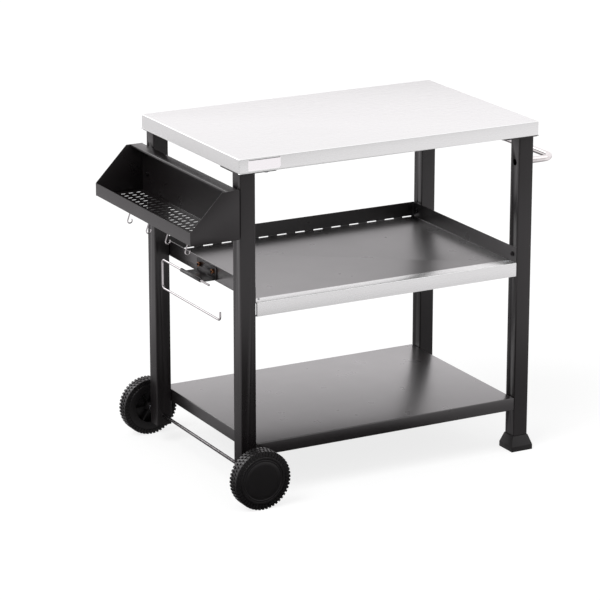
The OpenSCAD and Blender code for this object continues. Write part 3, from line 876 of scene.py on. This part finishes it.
def cut_drains(bm, back, inner, floor_z):
    """Cuts the row of drain slots at the foot of the tray's back wall."""
    low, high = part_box("middle_tray")
    count, length, height, margin = 14, 27 * MM, 2 * MM, 20.6 * MM
    first = low.x + margin
    pitch = (high.x - margin - first) / (count - 1)
    middles = [first + pitch * i for i in range(count)]
    wall = [
        f
        for f in bm.faces
        if f.calc_center_median().y > back - inner - NEAR and f.normal.y < -0.05
    ]
    for middle in middles:
        for x in (middle - length / 2, middle + length / 2):
            wall = bisect(bm, wall, (x, 0, 0), (1, 0, 0))
    wall = bisect(bm, wall, (0, 0, floor_z + height), (0, 0, 1))
    holes = []
    for f in wall:
        centre = f.calc_center_median()
        if centre.z < floor_z + height and any(abs(centre.x - m) < length / 2 for m in middles):
            holes.append(f)
    bmesh.ops.delete(bm, geom=holes, context="FACES")


def bisect(bm, faces, point, normal):
    """Cuts some faces by a plane and returns them with their new parts."""
    faces = [f for f in faces if f.is_valid]
    geom = list({v for f in faces for v in f.verts} | {e for f in faces for e in f.edges}) + faces
    made = bmesh.ops.bisect_plane(bm, geom=geom, plane_co=point, plane_no=normal)["geom"]
    return [g for g in made if isinstance(g, bmesh.types.BMFace)]


def tray_trim():
    """The stainless angle along the tray's front edge."""
    low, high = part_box("tray_trim")
    bend = 2 * MM
    bm = flat_sheet(low.xy, high.xy, high.z)
    drag_edges(bm, edges_at(bm, Y, low.y), (0, 0, low.z - high.z))
    round_over(bm, sharp_edges(bm), bend, segments=4)
    thicken(bm, STAINLESS_SHEET)
    finish_piece(bm, "trim_angle", ["tray_trim"])


class OVEN_TABLE_OT_shelf(bpy.types.Operator):
    """Builds the folded lower shelf"""

    bl_idname = "oven_table.shelf"
    bl_label = "Lower shelf"

    def execute(self, context):
        sizes = context.scene.oven_table_sizes
        bm = box_mesh(*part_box("bottom_shelf"))
        open_below(bm, SKIRT_RETURN)
        round_over(bm, sharp_edges(bm), sizes.fold, segments=4)
        thicken(bm, BLACK_SHEET)
        finish_piece(bm, "shelf_sheet", ["bottom_shelf"], finish="clear_coated_sheet")
        return {"FINISHED"}


# Spice box


class OVEN_TABLE_OT_spice_box(bpy.types.Operator):
    """Builds the slotted spice box and its end panels"""

    bl_idname = "oven_table.spice_box"
    bl_label = "Spice box"

    def execute(self, context):
        sizes = context.scene.oven_table_sizes
        low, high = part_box("spice_box_body")
        flange, turned_down, lip = 32 * MM, 5 * MM, 32 * MM
        long_edge, rim = 400 * MM, 0.5 * MM
        bm = slotted_floor(low, high)
        back = edges_at(bm, X, high.x)
        front = edges_at(bm, X, low.x)
        top = drag_edges(bm, back, (0, 0, high.z - low.z))
        brow = drag_edges(bm, top, (-flange, 0, 0))
        drag_edges(bm, brow, (0, 0, -turned_down))
        drag_edges(bm, front, (0, 0, lip))
        round_over(bm, sharp_edges(bm), sizes.fold, segments=4)
        floor = [f for f in bm.faces if f.calc_center_median().z < low.z + NEAR]
        if sum(f.normal.z * f.calc_area() for f in floor) > 0:
            bmesh.ops.reverse_faces(bm, faces=bm.faces[:])
        thicken(bm, BLACK_SHEET)
        rims = [e for e in sharp_edges(bm) if e.calc_length() > long_edge]
        round_over(bm, rims, rim, segments=3)
        finish_piece(bm, "box_sheet", ["spice_box_body"])
        for end in ("front", "rear"):
            softened(f"spice_box_end_{end}", f"box_end_{end}", sizes.edge)
        return {"FINISHED"}


def slotted_floor(low, high):
    """The spice box's floor: a field of slots with a plain border round it."""
    pitch, rows, slots = 21 * MM, 5, 24
    margin = (high.y - low.y - slots * pitch) / 2
    first_y = low.y + (high.y - low.y - (slots - 1) * pitch) / 2
    bm = bmesh.new()
    slotted_cell(bm, (high.x - pitch, first_y, low.z), pitch)
    cell = bm.verts[:] + bm.edges[:] + bm.faces[:]
    for i in range(1, rows):
        copy_by(bm, cell, (-pitch * i, 0, 0))
    cells = bm.verts[:] + bm.edges[:] + bm.faces[:]
    for i in range(1, slots):
        copy_by(bm, cells, (0, pitch * i, 0))
    bmesh.ops.remove_doubles(bm, verts=bm.verts[:], dist=NEAR)
    field_low_x, field_high_x = high.x - (rows + 0.5) * pitch, high.x - 0.5 * pitch
    drag_edges(bm, edges_at(bm, X, field_high_x), (high.x - field_high_x, 0, 0))
    drag_edges(bm, edges_at(bm, X, field_low_x), (low.x - field_low_x, 0, 0))
    for y, step in ((low.y + margin, -margin), (high.y - margin, margin)):
        drag_edges(bm, [e for e in edges_at(bm, Y, y) if e.is_boundary], (0, step, 0))
    return bm


def copy_by(bm, geom, shift):
    """Copies part of a bmesh and moves the copy."""
    made = bmesh.ops.duplicate(bm, geom=geom)["geom"]
    verts = [g for g in made if isinstance(g, bmesh.types.BMVert)]
    bmesh.ops.translate(bm, verts=verts, vec=shift)


def slotted_cell(bm, centre, pitch):
    """One square of the box's floor with a round-ended slot through it."""
    length, width = 14 * MM, 7 * MM
    outline = bmesh.ops.create_grid(bm, x_segments=4, y_segments=4, size=pitch / 2)["verts"]
    inner = [v for v in outline if not v.is_boundary]
    bmesh.ops.delete(bm, geom=inner, context="VERTS")
    bm.faces.ensure_lookup_table()
    bmesh.ops.delete(bm, geom=bm.faces[:], context="FACES_ONLY")
    square = bm.edges[:]
    ring = bmesh.ops.create_circle(bm, segments=16, radius=width / 2)["verts"]
    hole = [e for e in bm.edges if e not in square]
    for v in ring:
        if abs(v.co.x) > NEAR:
            v.co.x += math.copysign((length - width) / 2, v.co.x)
    bmesh.ops.bridge_loops(bm, edges=square + hole)
    bmesh.ops.translate(bm, verts=bm.verts[:], vec=centre)


# Wheels


class OVEN_TABLE_OT_wheels(bpy.types.Operator):
    """Builds the moulded wheels with their spokes and tread blocks, and their caps"""

    bl_idname = "oven_table.wheels"
    bl_label = "Wheels"

    def execute(self, context):
        sizes = context.scene.oven_table_sizes
        for depth, side in (("front", -1), ("rear", 1)):
            low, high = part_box(f"wheel_{depth}")
            outer = low.y if side < 0 else high.y
            axle = (low + high) / 2
            turn = Matrix.Rotation(math.radians(-90 * side), 4, "X")
            place = Matrix.Translation((axle.x, outer - side * WHEEL_WIDTH * MM, axle.z)) @ turn
            bm = wheel_mesh(sizes.block_count)
            bmesh.ops.transform(bm, matrix=place, verts=bm.verts[:])
            finish_piece(bm, f"wheel_moulding_{depth}", [f"wheel_{depth}"])
            bm = spun(CAP_PROFILE, closed=False)
            bmesh.ops.transform(bm, matrix=place, verts=bm.verts[:])
            finish_piece(bm, f"cap_{depth}", [f"hub_cap_{depth}"])
        return {"FINISHED"}


def spun(profile, closed=True):
    """Spins a profile of radius and height points, in millimetres, round the Z axis."""
    bm = bmesh.new()
    verts = [bm.verts.new((r * MM, 0, z * MM)) for r, z in profile]
    for a, b in zip(verts, verts[1:] + verts[:1] if closed else verts[1:]):
        bm.edges.new((a, b))
    bmesh.ops.spin(
        bm,
        geom=bm.verts[:] + bm.edges[:],
        cent=(0, 0, 0),
        axis=(0, 0, 1),
        angle=math.tau,
        steps=96,
        use_merge=True,
    )
    bmesh.ops.remove_doubles(bm, verts=bm.verts[:], dist=MERGE)
    bmesh.ops.recalc_face_normals(bm, faces=bm.faces[:])
    return bm


def ring_of(bm, verts, count, start=0.0):
    """Copies a form all the way round the Z axis."""
    bmesh.ops.rotate(bm, verts=verts, cent=(0, 0, 0), matrix=Matrix.Rotation(start, 3, "Z"))
    faces = list({f for v in verts for f in v.link_faces})
    edges = list({e for v in verts for e in v.link_edges})
    for i in range(1, count):
        made = bmesh.ops.duplicate(bm, geom=verts + edges + faces)["geom"]
        copied = [g for g in made if isinstance(g, bmesh.types.BMVert)]
        bmesh.ops.rotate(
            bm,
            verts=copied,
            cent=(0, 0, 0),
            matrix=Matrix.Rotation(math.tau * i / count, 3, "Z"),
        )


def wheel_mesh(count):
    """A wheel on its back: inner face at 0, outer face at its full width."""
    edge_radius, crown = 0.45 * MM, WHEEL_WIDTH / 2
    hub, rim, half_spoke, spokes = 11 * MM, 66 * MM, 1.5 * MM, 6
    low, high = 4 * MM, 18.5 * MM
    bm = spun(WHEEL_PROFILE)
    round_over(bm, sharp_edges(bm, 30), edge_radius, segments=2)
    block_row(bm, count, root=59.4, ends=(24, 33.95), face=WHEEL_WIDTH)
    block_row(bm, count, root=61.0, ends=(0.05, 10), face=0)
    block_row(bm, count, root=69.2, ends=(12.7, 21.3), face=crown, start=math.pi / count)
    spoke = add_box(bm, (hub, -half_spoke, low), (rim, half_spoke, high))
    ring_of(bm, spoke, spokes)
    return bm


def block_row(bm, count, root, ends, face, start=0.0):
    """A ring of tread blocks, each rooted at a radius, between two heights in millimetres."""
    root, tread, low, high, half = (v * MM for v in (root, TREAD_RADIUS, *ends, 3.5))
    block = add_box(bm, (root, -half, low), (tread, half, high))
    narrow(block, face * MM)
    ring_of(bm, block, count, start)


def narrow(verts, face_z):
    """Draws in a tread block towards its top, and towards the wheel's face on the shoulder."""
    top_share, shoulder_share, slope, near_face = 0.76, 0.7, 0.7 * MM, 1 * MM
    top = max(v.co.x for v in verts)
    middle_z = sum(v.co.z for v in verts) / len(verts)
    for v in verts:
        if v.co.x > top - NEAR:
            v.co.y *= top_share
            v.co.z += math.copysign(slope, middle_z - v.co.z)
        elif abs(v.co.z - face_z) < near_face:
            v.co.y *= shoulder_share


# Handle, hooks and towel holder


class OVEN_TABLE_OT_wires(bpy.types.Operator):
    """Builds the push handle, the hooks, the towel bar and its bracket"""

    bl_idname = "oven_table.wires"
    bl_label = "Handle, hooks and towel bar"

    def execute(self, context):
        sizes = context.scene.oven_table_sizes
        softened("handle", "handle_tube", TUBE_END, finish="chromed_tube")
        for i in range(1, 5):
            softened(f"hook_{i}", f"s_hook_{i}", sizes.wire_tip, segments=4, degrees=60)
        softened("towel_bar", "towel_wire", sizes.wire_tip, segments=4, degrees=60)
        softened("towel_bracket", "bracket_sheet", sizes.edge)
        return {"FINISHED"}


# Fasteners and axle


class OVEN_TABLE_OT_fasteners(bpy.types.Operator):
    """Builds the axle parts, the bolts, the nuts and the screws"""

    bl_idname = "oven_table.fasteners"
    bl_label = "Axle and fasteners"

    def execute(self, context):
        softened("axle", "axle_finished", TURNED_EDGE, finish="ground_rod")
        for node in (
            "axle_spacers",
            "axle_washers",
            "axle_nuts",
            "tray_bolts",
            "shelf_bolts",
            "box_bolts",
            "box_spacers",
            "handle_bolts",
            "bracket_bolts",
            "bracket_nuts",
            "trim_screws",
            "plate_screws",
        ):
            softened(node, f"{node}_finished", TURNED_EDGE)
        for node in ("plate_nuts", "leg_rivet_nuts", "handle_bushes"):
            keep_shape(node)
        return {"FINISHED"}


# Stage


class OVEN_TABLE_OT_stage(bpy.types.Operator):
    """Builds the white floor, the studio light and the camera"""

    bl_idname = "oven_table.stage"
    bl_label = "Stage"

    def execute(self, context):
        scene = context.scene
        scene.view_settings.view_transform = "Standard"
        studio_world(scene)
        studio_floor(scene)
        sun(scene, "key_sun", direction=(-0.75, -0.25, 1.0), strength=1.6, spread=34)
        sun(scene, "fill_sun", direction=(0.5, -0.9, 1.2), strength=0.5, spread=70)
        sun(scene, "edge_sun", direction=(-0.27, 0.84, 0.44), strength=0.35, spread=24)
        camera(scene)
        return {"FINISHED"}


def studio_world(scene):
    """White behind everything and in reflections, with a dimmer, even light on the object.

    The side where a photographer stands is darker, as in a real studio, so that
    bright wire and folds get the grey edges that set them off from the white.
    """
    world = bpy.data.worlds.new("studio")
    world.use_nodes = True
    scene.world = world
    tree = world.node_tree
    tree.nodes.clear()
    paths = add(tree, "ShaderNodeLightPath")
    looking = add(tree, "ShaderNodeTexCoord")
    from_photographer = (0.47, 0.88, 0.35)
    away = add(
        tree,
        "ShaderNodeVectorMath",
        settings={"operation": "DOT_PRODUCT"},
        inputs={1: from_photographer},
        links={0: (looking, "Generated")},
    )
    mirrored = add(
        tree,
        "ShaderNodeMapRange",
        settings={"interpolation_type": "SMOOTHSTEP"},
        inputs={"From Min": -1.0, "From Max": 0.5, "To Min": 0.3, "To Max": 1.12},
        links={"Value": (away, "Value")},
    )
    ambient = add(tree, "ShaderNodeBackground", inputs={"Color": WHITE, "Strength": 0.5})
    behind = add(tree, "ShaderNodeBackground", inputs={"Color": WHITE, "Strength": 1.0})
    shown = add(
        tree,
        "ShaderNodeBackground",
        inputs={"Color": MIRRORED_WHITE},
        links={"Strength": (mirrored, "Result")},
    )
    with_view = add(
        tree,
        "ShaderNodeMixShader",
        links={0: (paths, "Is Camera Ray"), 1: (ambient, "Background"), 2: (behind, "Background")},
    )
    with_gloss = add(
        tree,
        "ShaderNodeMixShader",
        links={0: (paths, "Is Glossy Ray"), 1: (with_view, "Shader"), 2: (shown, "Background")},
    )
    with_glass = add(
        tree,
        "ShaderNodeMixShader",
        links={
            0: (paths, "Is Transmission Ray"),
            1: (with_gloss, "Shader"),
            2: (behind, "Background"),
        },
    )
    add(tree, "ShaderNodeOutputWorld", links={"Surface": (with_glass, "Shader")})


def studio_floor(scene):
    """A wide pale floor that reads white and keeps the table's soft shadow."""
    half_width = 40
    bm = bmesh.new()
    bmesh.ops.create_grid(bm, x_segments=1, y_segments=1, size=half_width)
    mesh = bpy.data.meshes.new("studio_floor")
    bm.to_mesh(mesh)
    bm.free()
    floor = bpy.data.objects.new("studio_floor", mesh)
    scene.collection.objects.link(floor)
    mesh.materials.append(painted_floor(scene.oven_table_colours.floor))


def painted_floor(colour):
    """Matt floor paint, rolled smooth: even and pale, and lifted to white for the camera.

    Reflections see painted shade on it: its glow is darker in front of the table,
    standing in for a studio's black flag, darker under the table as a painted shadow
    of it, dimmer at the two places behind and before it that the tray and the shelf
    mirror, and a little dimmer towards the back.
    """
    material, tree, place = new_material("Studio_floor_with_painted_reflection_shade")
    paths = add(tree, "ShaderNodeLightPath")
    paint = add(tree, "ShaderNodeBsdfDiffuse", inputs={"Color": (*colour, 1)})
    shade = add(tree, "ShaderNodeBsdfDiffuse", inputs={"Color": (*darker(colour, 0.72), 1)})
    lift = add(tree, "ShaderNodeEmission", inputs={"Color": WHITE, "Strength": 0.8})
    seen = add(tree, "ShaderNodeAddShader", links={0: (shade, "BSDF"), 1: (lift, "Emission")})
    with_view = add(
        tree,
        "ShaderNodeMixShader",
        links={0: (paths, "Is Camera Ray"), 1: (paint, "BSDF"), 2: (seen, "Shader")},
    )
    mirrored = add(
        tree,
        "ShaderNodeMath",
        settings={"operation": "MAXIMUM"},
        links={0: (paths, "Is Glossy Ray"), 1: (paths, "Is Transmission Ray")},
    )
    split = add(tree, "ShaderNodeSeparateXYZ", links={"Vector": (place, "Object")})
    # Painted reflection: for mirrored rays the floor glows a little less from front to back
    bright = add(
        tree,
        "ShaderNodeMapRange",
        inputs={"From Min": -1.0, "From Max": 0.6, "To Min": 1.05, "To Max": 0.86},
        links={"Value": (split, "Y")},
    )
    socket = "Result"
    # Painted shade: each oval darkens the glow that reflections see, under, before and behind the
    # table
    for centre, radii, darkest in MIRRORED_SHADE_OVALS:
        patch = painted_shade_oval(tree, place, centre, radii, darkest)
        bright = add(
            tree,
            "ShaderNodeMath",
            settings={"operation": "MULTIPLY"},
            links={0: (bright, socket), 1: (patch, "Result")},
        )
        socket = "Value"
    white = add(
        tree,
        "ShaderNodeEmission",
        inputs={"Color": MIRRORED_WHITE},
        links={"Strength": (bright, socket)},
    )
    both = add(
        tree,
        "ShaderNodeMixShader",
        links={0: (mirrored, "Value"), 1: (with_view, "Shader"), 2: (white, "Emission")},
    )
    add(tree, "ShaderNodeOutputMaterial", links={"Surface": (both, "Shader")})
    return material


def painted_shade_oval(tree, place, centre, radii, darkest):
    """An oval of painted shade on the floor, seen only in reflections, with a soft border."""
    oval = add(
        tree,
        "ShaderNodeMapping",
        settings={"vector_type": "TEXTURE"},
        inputs={"Location": centre, "Scale": radii},
        links={"Vector": (place, "Object")},
    )
    inside = add(
        tree,
        "ShaderNodeTexGradient",
        settings={"gradient_type": "SPHERICAL"},
        links={"Vector": (oval, "Vector")},
    )
    return add(
        tree,
        "ShaderNodeMapRange",
        settings={"interpolation_type": "SMOOTHSTEP"},
        inputs={"From Min": 0, "From Max": 0.5, "To Min": 1.0, "To Max": darkest},
        links={"Value": (inside, "Fac")},
    )


def sun(scene, name, direction, strength, spread):
    """A very wide, soft lamp that shines from a direction."""
    lamp = bpy.data.lights.new(name, "SUN")
    lamp.energy = strength
    lamp.angle = math.radians(spread)
    obj = bpy.data.objects.new(name, lamp)
    obj.rotation_euler = Vector(direction).to_track_quat("Z", "Y").to_euler()
    scene.collection.objects.link(obj)


def camera(scene):
    """The photograph's view: from the front left, looking a little down."""
    data = bpy.data.cameras.new("photo_camera")
    data.lens = 179.04
    data.sensor_width = 36
    data.clip_end = 200
    looks_down, turned = math.radians(16.77), math.radians(28.2)
    obj = bpy.data.objects.new("photo_camera", data)
    obj.location = (-3.3875, -6.1665, 2.5002)
    obj.rotation_euler = (math.radians(90) - looks_down, 0, -turned)
    scene.collection.objects.link(obj)
    scene.camera = obj


class OVEN_TABLE_PT_pieces(bpy.types.Panel):
    """Lists the sizes, the colours and the pieces of the table"""

    bl_idname = "OVEN_TABLE_PT_pieces"
    bl_label = "Oven table"
    bl_space_type = "VIEW_3D"
    bl_region_type = "UI"
    bl_category = "Oven table"

    def draw(self, context):
        for group in (context.scene.oven_table_sizes, context.scene.oven_table_colours):
            box = self.layout.box()
            for name in group.bl_rna.properties.keys():
                if name not in ("rna_type", "name"):
                    box.prop(group, name)
        for operator in OPERATORS:
            self.layout.operator(operator.bl_idname)


OPERATORS = (
    OVEN_TABLE_OT_worktop,
    OVEN_TABLE_OT_frame,
    OVEN_TABLE_OT_tray,
    OVEN_TABLE_OT_shelf,
    OVEN_TABLE_OT_spice_box,
    OVEN_TABLE_OT_wheels,
    OVEN_TABLE_OT_wires,
    OVEN_TABLE_OT_fasteners,
    OVEN_TABLE_OT_stage,
)
CLASSES = (OvenTableSizes, OvenTableColours, *OPERATORS, OVEN_TABLE_PT_pieces)


def register():
    """Registers the settings, the operators and the panel."""
    for cls in CLASSES:
        bpy.utils.register_class(cls)
    bpy.types.Scene.oven_table_sizes = bpy.props.PointerProperty(type=OvenTableSizes)
    bpy.types.Scene.oven_table_colours = bpy.props.PointerProperty(type=OvenTableColours)


def unregister():
    """Takes the settings, the operators and the panel away again."""
    del bpy.types.Scene.oven_table_colours
    del bpy.types.Scene.oven_table_sizes
    for cls in reversed(CLASSES):
        bpy.utils.unregister_class(cls)


def main():
    """Builds the whole table and its stage."""
    register()
    bpy.ops.oven_table.worktop()
    bpy.ops.oven_table.frame()
    bpy.ops.oven_table.tray()
    bpy.ops.oven_table.shelf()
    bpy.ops.oven_table.spice_box()
    bpy.ops.oven_table.wheels()
    bpy.ops.oven_table.wires()
    bpy.ops.oven_table.fasteners()
    bpy.ops.oven_table.stage()


if __name__ == "__main__":
    main()
